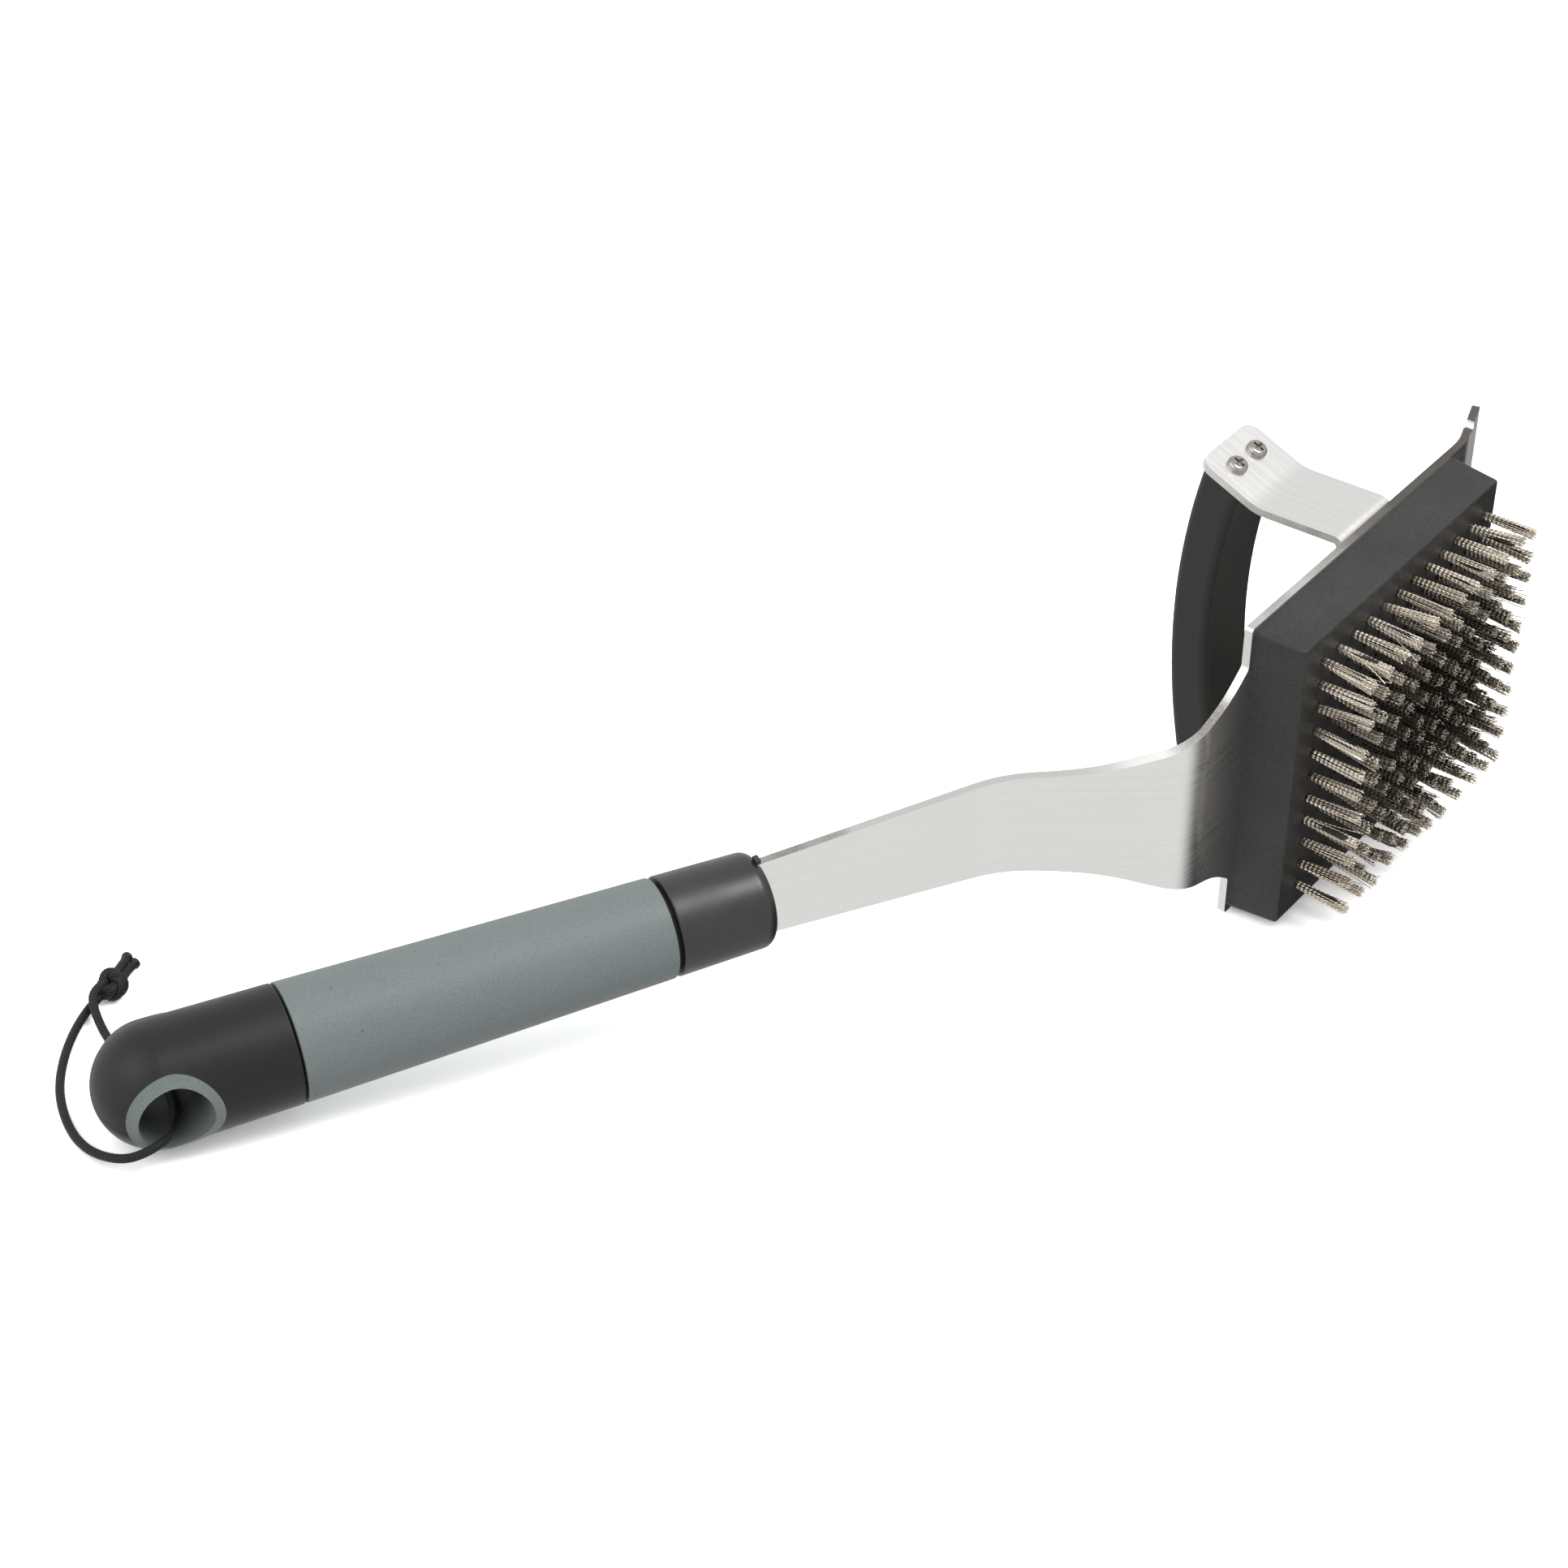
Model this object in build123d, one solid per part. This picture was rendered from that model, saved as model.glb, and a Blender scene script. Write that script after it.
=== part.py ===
"""Grill cleaning brush: a wire brush head on a bent steel neck with a long round handle.

The brush is modelled in its head frame and laid on its side at the end, the way it rests on a table.
Head frame: X along the head plate towards the scraper, Y out of the plate's back, Z across the brush.
Its origin is the middle of the face where the brush block meets the plate, so the bristles point to -Y.
"""
from build123d import *
import math
import os

# ---- Driving dimensions: millimetres and degrees ----
GAP = 0.05  # clearance of the round push fits

# Head block and its bristles
BLOCK_LENGTH = 107.7
BLOCK_WIDTH = 100.0
BLOCK_THICK = 15.3
BLOCK_DRAFT = 5.4
BLOCK_CORNER = 2.5
BLOCK_EDGE = 1.0
PITCH = 8.0
COLUMNS = 12
ROWS = 11
GRID_SHIFT = 1.5  # the bristle field sits this far from the block's middle, towards the scraper
HOLE_RADIUS = 1.3
HOLE_DEPTH = 10.0
TUFT_ROOT_RADIUS = 1.2
TUFT_TIP_RADIUS = 1.7
TUFT_REACH = 16.7
ANCHOR = (2.0, 1.2, 0.45)  # the flat wire staple under each tuft: across, deep, thick

# Neck plate: one bent sheet that is head plate, scraper, neck and handle tang
SHEET = 2.4
PLATE_HALF = 50.8
PLATE_START = -55.3
SCRAPER_BEND_X = 60.5
SCRAPER_ANGLE = 18.5
SCRAPER_LENGTH = 20.1
SCRAPER_RADIUS = 22.0
NOTCH_RADIUS = 2.2
NOTCH_FROM_TIP = 10.5
NECK_BEND_X = -80.9
NECK_ANGLE = 51.0
NECK_RADIUS = 17.0
NECK_SLOPE_LENGTH = 50.5
TANG_BEND_RADIUS = 40.0
HANDLE_ANGLE = 26.8
FLARE = [(-55.3, 37.6), (-66.0, 30.4), (-80.0, 25.6), (-96.0, 18.3), (-112.0, 16.4)]  # x, half width
FLARE_END = (1, -0.85)  # the flare's direction where it meets the plate
NECK_CORNER = 2.0
PLATE_CORNER = 1.2
STRAP_HALF_AT_FERRULE = 12.7
TANG_HALF = 9.0
TANG_DEPTH = 60.6

# Handle, measured along its axis from the front face of the ferrule
NECK_STRAIGHT = 72.4  # from the neck's second bend to the ferrule
FERRULE_LENGTH = 28.2
FERRULE_ROUND = 4.0
FERRULE_WALL_END = 6.0
SLOT_DEPTH = 2.0  # the strap enters the ferrule at full width this far
LIP = (2.6, 1.3, 1.4)  # the slot's raised ends: across the sheet, outwards, along the handle
RIM_ROUND = 0.5
GROOVE = 1.4
SLEEVE_LENGTH = 103.0
SEAM = 0.6
CAP_LENGTH = 50.8
CAP_SOCKET = 14.0
FRONT_RADIUS = 13.3  # of the handle's cone, at the ferrule's front face
REAR_RADIUS = 16.1  # of the handle's cone, at the end cap's rim
CAP_RADIUS = 16.6
CORE_RADIUS = 11.6
CORE_BORE = 6.5
PIN_RADIUS = 1.5
PIN_PLACES = (20.6, 46.6)

# Hanging hole
HANG_FROM_TIP = 17.4
EYELET_OUTER = 12.2
EYELET_INNER = 9.6
EYELET_PROUD = 0.3

# Second grip behind the head
BRACKET_X = 9.2
BRACKET_WIDTH = 26.0
LEG_ROOT_HALF = 50.8
LEG_BEND = (31.0, 49.6)  # y, z of the leg's outer face at its bend
TAB_END = (50.8, 57.8)  # y, z of the tab's outer face at its end
LEG_RADIUS = 14.0
ROOT_RADIUS = 3.4
TAB_CORNER = 4.5
BAR_WIDTH = 24.0
BAR_OUTER = 57.0  # y of the bar's outer face at its middle
BAR_INNER = 44.3
BAR_OUTER_RADIUS = 232.0
BAR_INNER_RADIUS = 187.0
BAR_ROUND = 2.5

# Fasteners
SCREW_SPACING = 10.2
SCREW_FROM_END = 8.3
GRIP_SCREW = (1.5, 3.1, 1.9, 13.0)  # shank radius, head radius, head height, length under the head
HEAD_SCREW = (2.0, 3.8, 2.3, 13.0)
BLOCK_SCREW_HALF = (40.0, 36.0)
BRACKET_SCREW_HALF = 20.0

# Lanyard. The route runs from the knot along the table, round the end cap, through the hanging hole
# and back to the knot. X and Y are measured from the hanging hole's middle, Z from the table.
CORD = 2.5
ROUTE = [
    (1.8, 59.0, 2.8),
    (-2.2, 56.8, 1.6),
    (-8.0, 50.0, 1.25),
    (-13.0, 41.8, 1.25),
    (-17.0, 33.2, 1.25),
    (-20.0, 24.2, 1.25),
    (-21.4, 15.0, 1.25),
    (-21.4, 6.0, 1.3),
    (-19.9, -2.2, 2.3),
    (-16.6, -9.4, 4.2),
    (-12.0, -14.9, 6.7),
    (-5.4, -15.7, 9.4),
    (-0.2, -11.2, 9.5),
    (2.6, -4.4, 9.3),
    (3.6, 4.0, 9.7),
    (3.2, 12.6, 10.3),
    (2.4, 19.8, 8.9),
    (0.8, 26.6, 5.0),
    (-1.4, 33.4, 2.3),
    (-2.8, 40.4, 1.6),
    (-3.4, 47.2, 2.8),
    (-3.4, 52.8, 4.5),
    (-1.8, 57.4, 5.2),
    (2.0, 60.2, 5.0),
]
KNOT_AT = (3.4, 59.9, 3.7)
KNOT_RADIUS = 3.7
KNOT_LENGTH = 9.6
KNOT_ROUND = 2.4
KNOT_TURN = 28.0
TAILS = [
    [(5.0, 62.8, 4.2), (7.6, 66.8, 3.4), (9.8, 70.2, 2.5), (11.4, 72.8, 2.0)],
    [(6.4, 60.9, 3.0), (8.9, 64.8, 2.0), (11.2, 68.4, 1.4), (13.1, 70.2, 1.4)],
]

# How the brush lies: turned about the handle's axis, then raised towards the head
ROLL = 3.41
RISE = 6.38


# ---- Places worked out from the dimensions ----
def slope(angle):
    """Unit step in the head frame's XY plane at that angle back from the plate, towards the handle."""
    return Vector(-math.cos(math.radians(angle)), math.sin(math.radians(angle)), 0)


neck_corner = Vector(NECK_BEND_X, 0, 0)
tang_corner = neck_corner + slope(NECK_ANGLE) * NECK_SLOPE_LENGTH
bristle_side = Vector(-math.sin(math.radians(HANDLE_ANGLE)), -math.cos(math.radians(HANDLE_ANGLE)), 0)
ferrule_front = tang_corner + slope(HANDLE_ANGLE) * NECK_STRAIGHT - bristle_side * (SHEET / 2)

sleeve_start = FERRULE_LENGTH + GROOVE
sleeve_end = sleeve_start + SLEEVE_LENGTH
cap_start = sleeve_end + SEAM
cap_tip = cap_start + CAP_LENGTH
hang_at = cap_tip - HANG_FROM_TIP
handle = Plane(origin=ferrule_front, x_dir=bristle_side, z_dir=slope(HANDLE_ANGLE)).location
face_y = -BLOCK_THICK
strap_taper = (FLARE[-1][1] - STRAP_HALF_AT_FERRULE) / (FLARE[-1][0] - ferrule_front.X)

tab_slope = math.degrees(math.atan2(TAB_END[1] - LEG_BEND[1], TAB_END[0] - LEG_BEND[0]))
tab_along = Vector(0, math.cos(math.radians(tab_slope)), math.sin(math.radians(tab_slope)))
tab_out = Vector(0, -tab_along.Z, tab_along.Y)
screw_seat = Vector(BRACKET_X, *TAB_END) - tab_along * SCREW_FROM_END


def cone_radius(station):
    """Outer radius of the handle's cone at a station along its axis."""
    return FRONT_RADIUS + (REAR_RADIUS - FRONT_RADIUS) * station / cap_start


def turned(outline):
    """A solid of revolution round Z from a closed outline drawn as (radius, station)."""
    return revolve(Plane.XZ * make_face(outline), Axis.Z)


def box_at(size, low):
    """A box of that size with its lowest corner at that point."""
    return Pos(*low) * Box(*size, align=Align.MIN)


def along_y(radius, start, end, x, z, end_radius=None):
    """A round peg along Y, from y = start to y = end, that may flare to a second radius."""
    peg = Cone(radius, end_radius, abs(end - start)) if end_radius else Cylinder(radius, abs(end - start))
    return Pos(x, (start + end) / 2, z) * Rot(-90 if end > start else 90, 0, 0) * peg


def bent_sheet(points, radii, side, width):
    """Sheet metal bent along a path in the XY plane, thickened to one side of it, middle at z = 0."""
    profile = offset(FilletPolyline(*points, radius=radii), SHEET, side=side, closed=True)
    return extrude(make_face(profile.edges()), width / 2, both=True)


def circle_edges(shape, station):
    """The outermost round edges of a turned shape at a station along Z."""
    rims = [e for e in shape.edges().filter_by(GeomType.CIRCLE) if abs(e.center().Z - station) < 0.01]
    return max(rims, key=lambda e: e.radius)


def screw(shank, head, height, length):
    """A cross-recessed pan-head screw along Z, seated on z = 0 with its shank below."""
    cap = Pos(0, 0, height / 2) * Cylinder(head, height)
    cap = fillet(circle_edges(cap, height), 0.7 * height)
    recess = Box(1.15 * head, 0.26 * head, height) + Box(0.26 * head, 1.15 * head, height)
    return cap - Pos(0, 0, height) * recess + Pos(0, 0, -length / 2) * Cylinder(shank, length)


def solids_of(shape):
    """The separate solids of a shape or of a list of shapes."""
    return [solid for one in (shape if isinstance(shape, list) else [shape]) for solid in one.solids()]


# ---- Head ----
def tuft_grid():
    """X and Z of every tuft, one list for each row across the head."""
    first_x = GRID_SHIFT - PITCH * (COLUMNS - 1) / 2
    first_z = -PITCH * (ROWS - 1) / 2
    return [[(first_x + PITCH * i, first_z + PITCH * j) for i in range(COLUMNS)] for j in range(ROWS)]


def block_screw_places():
    """X and Z of the four screws that hold the block to the plate, each between four tufts."""
    half_x, half_z = BLOCK_SCREW_HALF
    return [(GRID_SHIFT + i * half_x, j * half_z) for i in (-1, 1) for j in (-1, 1)]


def bracket_screw_places():
    """X and Z of the two screws that hold the second grip's bracket."""
    return [(BRACKET_X, j * BRACKET_SCREW_HALF) for j in (-1, 1)]


def brush_block():
    """Drafted plastic block with a blind hole for every tuft and pilot holes for the screws."""
    outline = Plane.XZ * RectangleRounded(BLOCK_LENGTH, BLOCK_WIDTH, BLOCK_CORNER)
    block = extrude(outline, BLOCK_THICK, taper=BLOCK_DRAFT)
    block = fillet(block.faces().sort_by(Axis.Y)[0].edges(), BLOCK_EDGE)
    places = [place for row in tuft_grid() for place in row]
    holes = [along_y(HOLE_RADIUS, face_y + HOLE_DEPTH, face_y - 1, x, z) for x, z in places]
    shank, reach = HEAD_SCREW[0] + GAP, HEAD_SCREW[3]
    holes += [along_y(shank, SHEET - reach - 0.2, 1, x, z) for x, z in block_screw_places()]
    holes += [along_y(shank, 2 * SHEET - reach - 0.2, 1, x, z) for x, z in bracket_screw_places()]
    return block - holes


def tuft_row(places):
    """One row of tufts, each a bundle that flares from its hole to its tip."""
    root = face_y + HOLE_DEPTH - ANCHOR[1]
    stems = [along_y(TUFT_ROOT_RADIUS, root, face_y, x, z) for x, z in places]
    tips = [along_y(TUFT_ROOT_RADIUS, face_y, face_y - TUFT_REACH, x, z, TUFT_TIP_RADIUS) for x, z in places]
    return [stem + tip for stem, tip in zip(stems, tips)]


def tuft_anchors():
    """The flat wire staple that holds each tuft in the bottom of its hole."""
    across, deep, thick = ANCHOR
    middle = face_y + HOLE_DEPTH - deep / 2
    return [Pos(x, middle, z) * Box(across, deep, thick) for row in tuft_grid() for x, z in row]


def head_screws(places, seat_y):
    """Screws driven from the back of the head, seated at that Y."""
    return [Pos(x, seat_y, z) * Rot(-90, 0, 0) * screw(*HEAD_SCREW) for x, z in places]


# ---- Neck plate ----
def plate_outline():
    """The sheet's outline seen along Y, as a block to cut the bent strip with."""
    far = SCRAPER_BEND_X + SCRAPER_LENGTH + 10
    strap_end = ferrule_front.X - TANG_DEPTH
    end_half = STRAP_HALF_AT_FERRULE + strap_taper * (strap_end - ferrule_front.X)
    flare = [(x, -half) for x, half in FLARE]
    outline = [
        Line((far, 0), (strap_end, 0)),
        Line((strap_end, 0), (strap_end, -end_half)),
        Line((strap_end, -end_half), flare[-1]),
        Spline(*reversed(flare), tangents=[(1, -strap_taper), FLARE_END]),
        Line(flare[0], (PLATE_START, -PLATE_HALF)),
        Line((PLATE_START, -PLATE_HALF), (far, -PLATE_HALF)),
        Line((far, -PLATE_HALF), (far, 0)),
    ]
    half = make_face(outline)
    for z, radius in ((FLARE[0][1], NECK_CORNER), (PLATE_HALF, PLATE_CORNER)):
        half = fillet(half.vertices().sort_by_distance((PLATE_START, -z))[0], radius)
    whole = half + mirror(half, about=Plane.XZ)
    return extrude(Plane.XZ * whole, 150, both=True)


def neck_plate():
    """The bent sheet: its side profile, cut to its outline, notched, stepped for the tang and pierced."""
    scraper_corner = Vector(SCRAPER_BEND_X, 0, 0)
    scraper_tip = scraper_corner + Vector(SCRAPER_LENGTH, 0, 0).rotate(Axis.Z, SCRAPER_ANGLE)
    notch_x = scraper_tip.X - NOTCH_FROM_TIP
    tang_end = tang_corner + slope(HANDLE_ANGLE) * (NECK_STRAIGHT + TANG_DEPTH)
    corners = [scraper_tip, scraper_corner, neck_corner, tang_corner, tang_end]
    radii = [SCRAPER_RADIUS, NECK_RADIUS, TANG_BEND_RADIUS]
    plate = bent_sheet(corners, radii, Side.RIGHT, 2 * PLATE_HALF) & plate_outline()
    plate -= [Pos(notch_x, 0, j * PLATE_HALF) * Rot(90, 0, 0) * Cylinder(NOTCH_RADIUS, 60) for j in (-1, 1)]
    step = (20, 40, TANG_DEPTH + 10)
    plate -= handle * box_at(step, (-10, TANG_HALF, SLOT_DEPTH))
    plate -= handle * box_at(step, (-10, -TANG_HALF - 40, SLOT_DEPTH))
    clear = HEAD_SCREW[0] + 0.1
    plate -= [along_y(clear, -1, SHEET + 1, x, z) for x, z in block_screw_places() + bracket_screw_places()]
    return plate - [handle * pin for pin in cross_pins(PIN_RADIUS + GAP)]


# ---- Handle ----
def cross_pins(radius):
    """The two pins through the core and the tang."""
    length = 2 * CORE_RADIUS - 1
    return [Pos(0, 0, place) * Rot(0, 90, 0) * Cylinder(radius, length) for place in PIN_PLACES]


def tang_slot():
    """The room that the tang takes up in the ferrule and the core."""
    return box_at(
        (SHEET + 2 * GAP, 2 * TANG_HALF + 2 * GAP, TANG_DEPTH + 2 * GAP),
        (-SHEET / 2 - GAP, -TANG_HALF - GAP, 0),
    )


def front_ferrule():
    """Rounded plastic collar that closes the handle round the strap."""
    bore = CORE_RADIUS + GAP
    wall = turned(Polyline(
        (0, 0), (FRONT_RADIUS, 0), (cone_radius(FERRULE_LENGTH), FERRULE_LENGTH),
        (bore, FERRULE_LENGTH), (bore, FERRULE_WALL_END), (0, FERRULE_WALL_END), close=True,
    ))
    wall = fillet(circle_edges(wall, 0), FERRULE_ROUND)
    wall = fillet(circle_edges(wall, FERRULE_LENGTH), RIM_ROUND)
    lips = [
        box_at((LIP[0], LIP[1], LIP[2]), (-LIP[0] / 2, y, SLOT_DEPTH - LIP[2]))
        for y in (STRAP_HALF_AT_FERRULE + GAP, -STRAP_HALF_AT_FERRULE - GAP - LIP[1])
    ]
    strap = box_at(
        (SHEET + 2 * GAP, 2 * STRAP_HALF_AT_FERRULE + 2 * GAP, SLOT_DEPTH + 10),
        (-SHEET / 2 - GAP, -STRAP_HALF_AT_FERRULE - GAP, -10),
    )
    return wall + lips - strap - tang_slot()


def handle_core():
    """Stiff core that the tang is pinned into: solid round the tang, hollow behind it."""
    end = cap_start + CAP_SOCKET - 0.2
    hollow = TANG_DEPTH + 6
    core = turned(Polyline(
        (0, FERRULE_WALL_END), (CORE_RADIUS, FERRULE_WALL_END), (CORE_RADIUS, end),
        (CORE_BORE, end), (CORE_BORE, hollow), (0, hollow), close=True,
    ))
    return core - tang_slot() - cross_pins(PIN_RADIUS + GAP)


def grip_sleeve():
    """Soft tapered sleeve over the core."""
    bore = CORE_RADIUS + GAP
    sleeve = turned(Polyline(
        (bore, sleeve_start), (cone_radius(sleeve_start), sleeve_start),
        (cone_radius(sleeve_end), sleeve_end), (bore, sleeve_end), close=True,
    ))
    return fillet([circle_edges(sleeve, station) for station in (sleeve_start, sleeve_end)], RIM_ROUND)


def cap_body(proud=0.0):
    """The end cap's outer shape: a cone that ends in a round dome."""
    dome_start = cap_tip - CAP_RADIUS
    radius = CAP_RADIUS + proud
    return turned([
        Line((0, cap_tip + proud), (0, cap_start)),
        Line((0, cap_start), (REAR_RADIUS + proud, cap_start)),
        Line((REAR_RADIUS + proud, cap_start), (radius, dome_start)),
        CenterArc((0, dome_start), radius, start_angle=0, arc_size=90),
    ])


def hang_bore(radius):
    """A round rod through the end cap where the hanging hole runs."""
    return Pos(0, 0, hang_at) * Rot(0, 90, 0) * Cylinder(radius, 4 * CAP_RADIUS)


def end_cap():
    """Domed plastic cap with a socket for the core and a cross hole for the eyelet."""
    body = fillet(circle_edges(cap_body(), cap_start), RIM_ROUND)
    socket = Pos(0, 0, cap_start + CAP_SOCKET / 2) * Cylinder(CORE_RADIUS + GAP, CAP_SOCKET)
    return body - socket - hang_bore(EYELET_OUTER + GAP)


def hang_eyelet():
    """Liner of the hanging hole, whose rims follow the cap's surface and stand a little proud."""
    return (cap_body(EYELET_PROUD) & hang_bore(EYELET_OUTER)) - hang_bore(EYELET_INNER)


# ---- Second grip ----
def both_tabs():
    """The screw seats on the upper and lower tabs, each with Z out of the tab and X along the head."""
    upper = [
        Plane(origin=screw_seat + Vector(i * SCREW_SPACING / 2, 0, 0), x_dir=(1, 0, 0), z_dir=tab_out)
        for i in (-1, 1)
    ]
    lower = [
        Plane(
            origin=(p.origin.X, p.origin.Y, -p.origin.Z), x_dir=(1, 0, 0), z_dir=(0, tab_out.Y, -tab_out.Z)
        )
        for p in upper
    ]
    return [p.location for p in upper + lower]


def grip_bracket():
    """U-shaped strap on the plate's back whose legs end in rounded, splayed tabs."""
    upper = [TAB_END, LEG_BEND, (SHEET, LEG_ROOT_HALF)]
    points = upper + [(y, -z) for y, z in reversed(upper)]
    radii = [LEG_RADIUS, ROOT_RADIUS, ROOT_RADIUS, LEG_RADIUS]
    strap = Plane.YZ.location * bent_sheet(points, radii, Side.LEFT, BRACKET_WIDTH)
    ends = [e for e in strap.edges() if abs(e.length - SHEET) < 0.01 and e.center().Y > LEG_BEND[0]]
    strap = Pos(BRACKET_X, 0, 0) * fillet(ends, TAB_CORNER)
    strap -= [seat * Cylinder(GRIP_SCREW[0] + 0.1, 4 * SHEET) for seat in both_tabs()]
    clear = HEAD_SCREW[0] + 0.1
    return strap - [along_y(clear, 0, 3 * SHEET, x, z) for x, z in bracket_screw_places()]


def grip_bar():
    """Bowed bar between the two tabs, with rounded edges and pilot holes in its ends."""
    half = LEG_ROOT_HALF + 12
    rise_outer = BAR_OUTER_RADIUS - math.sqrt(BAR_OUTER_RADIUS**2 - half**2)
    rise_inner = BAR_INNER_RADIUS - math.sqrt(BAR_INNER_RADIUS**2 - half**2)
    outer, inner = BAR_OUTER - rise_outer, BAR_INNER - rise_inner
    outline = [
        ThreePointArc((outer, half), (BAR_OUTER, 0), (outer, -half)),
        Line((outer, -half), (inner, -half)),
        ThreePointArc((inner, -half), (BAR_INNER, 0), (inner, half)),
        Line((inner, half), (outer, half)),
    ]
    bar = Plane.YZ.location * extrude(make_face(outline), BAR_WIDTH / 2, both=True)
    long_edges = [e for e in bar.edges() if e.length > half]
    bar = Pos(BRACKET_X, 0, 0) * fillet(long_edges, BAR_ROUND)
    for seat in both_tabs():
        bar -= seat * box_at((100, 100, 40), (-50, -50, -SHEET))
        bar -= seat * Pos(0, 0, -SHEET) * Cylinder(GRIP_SCREW[0] + GAP, 2 * (GRIP_SCREW[3] - SHEET + 0.2))
    return bar


# ---- Lanyard ----
def bend_radii(points):
    """The largest radius that the runs beside each corner of a route allow."""
    radii = []
    for before, corner, after in zip(points, points[1:], points[2:]):
        arriving, leaving = Vector(corner) - Vector(before), Vector(after) - Vector(corner)
        half_turn = math.radians(arriving.get_angle(leaving)) / 2
        radii.append(0.45 * min(arriving.length, leaving.length) / math.tan(half_turn))
    return radii


def tube(name, points):
    """A round cord along straight runs joined by tangent arcs; prints its bends and checks its volume."""
    radii = bend_radii(points)
    path = FilletPolyline(*points, radius=radii)
    cord = sweep(Plane(origin=path @ 0, z_dir=path % 0) * Circle(CORD / 2), path=path)
    section = math.pi * CORD**2 / 4
    print(f"{name}: {path.length:.1f} mm, volume {cord.volume / (section * path.length):.4f} of section x length")
    print("  radii", " ".join(f"{radius:.1f}" for radius in radii))
    return cord


def lanyard_knot():
    """The overhand knot as a rounded barrel lying on the table."""
    barrel = Cylinder(KNOT_RADIUS, KNOT_LENGTH)
    barrel = fillet(barrel.edges().filter_by(GeomType.CIRCLE), KNOT_ROUND)
    return Pos(*KNOT_AT) * Rot(0, 0, KNOT_TURN) * Rot(0, 90, 0) * barrel


# ---- The brush laid on its side, and what is on its lanyard ----
brush = {
    "brush_block": brush_block(),
    "tuft_anchors": tuft_anchors(),
    "neck_plate": neck_plate(),
    "block_screws": head_screws(block_screw_places(), SHEET),
    "grip_bracket": grip_bracket(),
    "bracket_screws": head_screws(bracket_screw_places(), 2 * SHEET),
    "grip_bar": grip_bar(),
    "grip_screws": [seat * screw(*GRIP_SCREW) for seat in both_tabs()],
    "front_ferrule": handle * front_ferrule(),
    "handle_core": handle * handle_core(),
    "tang_pins": [handle * pin for pin in cross_pins(PIN_RADIUS)],
    "grip_sleeve": handle * grip_sleeve(),
    "end_cap": handle * end_cap(),
    "hang_eyelet": handle * hang_eyelet(),
}
for number, row in enumerate(tuft_grid(), start=1):
    brush[f"tuft_row_{number:02d}"] = tuft_row(row)

lie_down = Rot(0, -RISE, 0) * Rot(ROLL, 0, 0) * Rot(0, 0, HANDLE_ANGLE)
brush = {name: lie_down * Compound(solids_of(shape)) for name, shape in brush.items()}
box = Compound(list(brush.values())).bounding_box()
to_origin = Pos(-box.center().X, -box.center().Y, -box.min.Z)
nodes = {name: to_origin * shape for name, shape in brush.items()}

hole = nodes["hang_eyelet"].bounding_box().center()
to_hole = Pos(hole.X, hole.Y, 0)
nodes["lanyard_cord"] = to_hole * tube("lanyard_cord", ROUTE)
nodes["lanyard_tails"] = to_hole * Compound([tube(f"tail {n}", points) for n, points in enumerate(TAILS)])
nodes["lanyard_knot"] = to_hole * lanyard_knot()

os.makedirs("parts", exist_ok=True)
for name, shape in nodes.items():
    export_step(shape, f"parts/{name}.step")
size = Compound(list(nodes.values())).bounding_box().size
print(f"{len(nodes)} nodes, {size.X:.1f} x {size.Y:.1f} x {size.Z:.1f} mm")
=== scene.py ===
"""Looks of the grill cleaning brush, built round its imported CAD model.

Everything is in metres in the model's own frame: the table is z = 0, the handle lies along X and rises
towards the head, and the bristles point towards -Y.
"""

import math

import bpy
import numpy as np
from mathutils import Matrix, Vector


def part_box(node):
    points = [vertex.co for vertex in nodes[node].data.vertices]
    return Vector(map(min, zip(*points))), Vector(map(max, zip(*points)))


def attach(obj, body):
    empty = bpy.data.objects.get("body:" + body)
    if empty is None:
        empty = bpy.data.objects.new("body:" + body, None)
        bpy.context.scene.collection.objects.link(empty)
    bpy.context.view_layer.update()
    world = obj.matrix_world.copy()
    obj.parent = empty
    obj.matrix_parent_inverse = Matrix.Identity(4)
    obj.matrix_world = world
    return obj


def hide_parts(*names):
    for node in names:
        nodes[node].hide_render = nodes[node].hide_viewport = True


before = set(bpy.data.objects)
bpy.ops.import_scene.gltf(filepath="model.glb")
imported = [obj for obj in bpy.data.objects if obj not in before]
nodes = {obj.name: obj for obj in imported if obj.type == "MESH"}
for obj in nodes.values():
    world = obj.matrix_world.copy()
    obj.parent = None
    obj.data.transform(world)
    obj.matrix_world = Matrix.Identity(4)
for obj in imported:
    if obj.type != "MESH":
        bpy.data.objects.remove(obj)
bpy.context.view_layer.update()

# ---- Driving values: metres and degrees ----
# How the brush lies, as in the CAD source
HANDLE_ANGLE = 26.8
ROLL = 3.41
RISE = 6.38

# Camera
CAMERA_AT = (-0.37638, -0.67429, 0.55713)
CAMERA_HEADING = -27.462
CAMERA_DOWN = 33.381
CAMERA_ROLL = 4.805
LENS = 77.4

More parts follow.
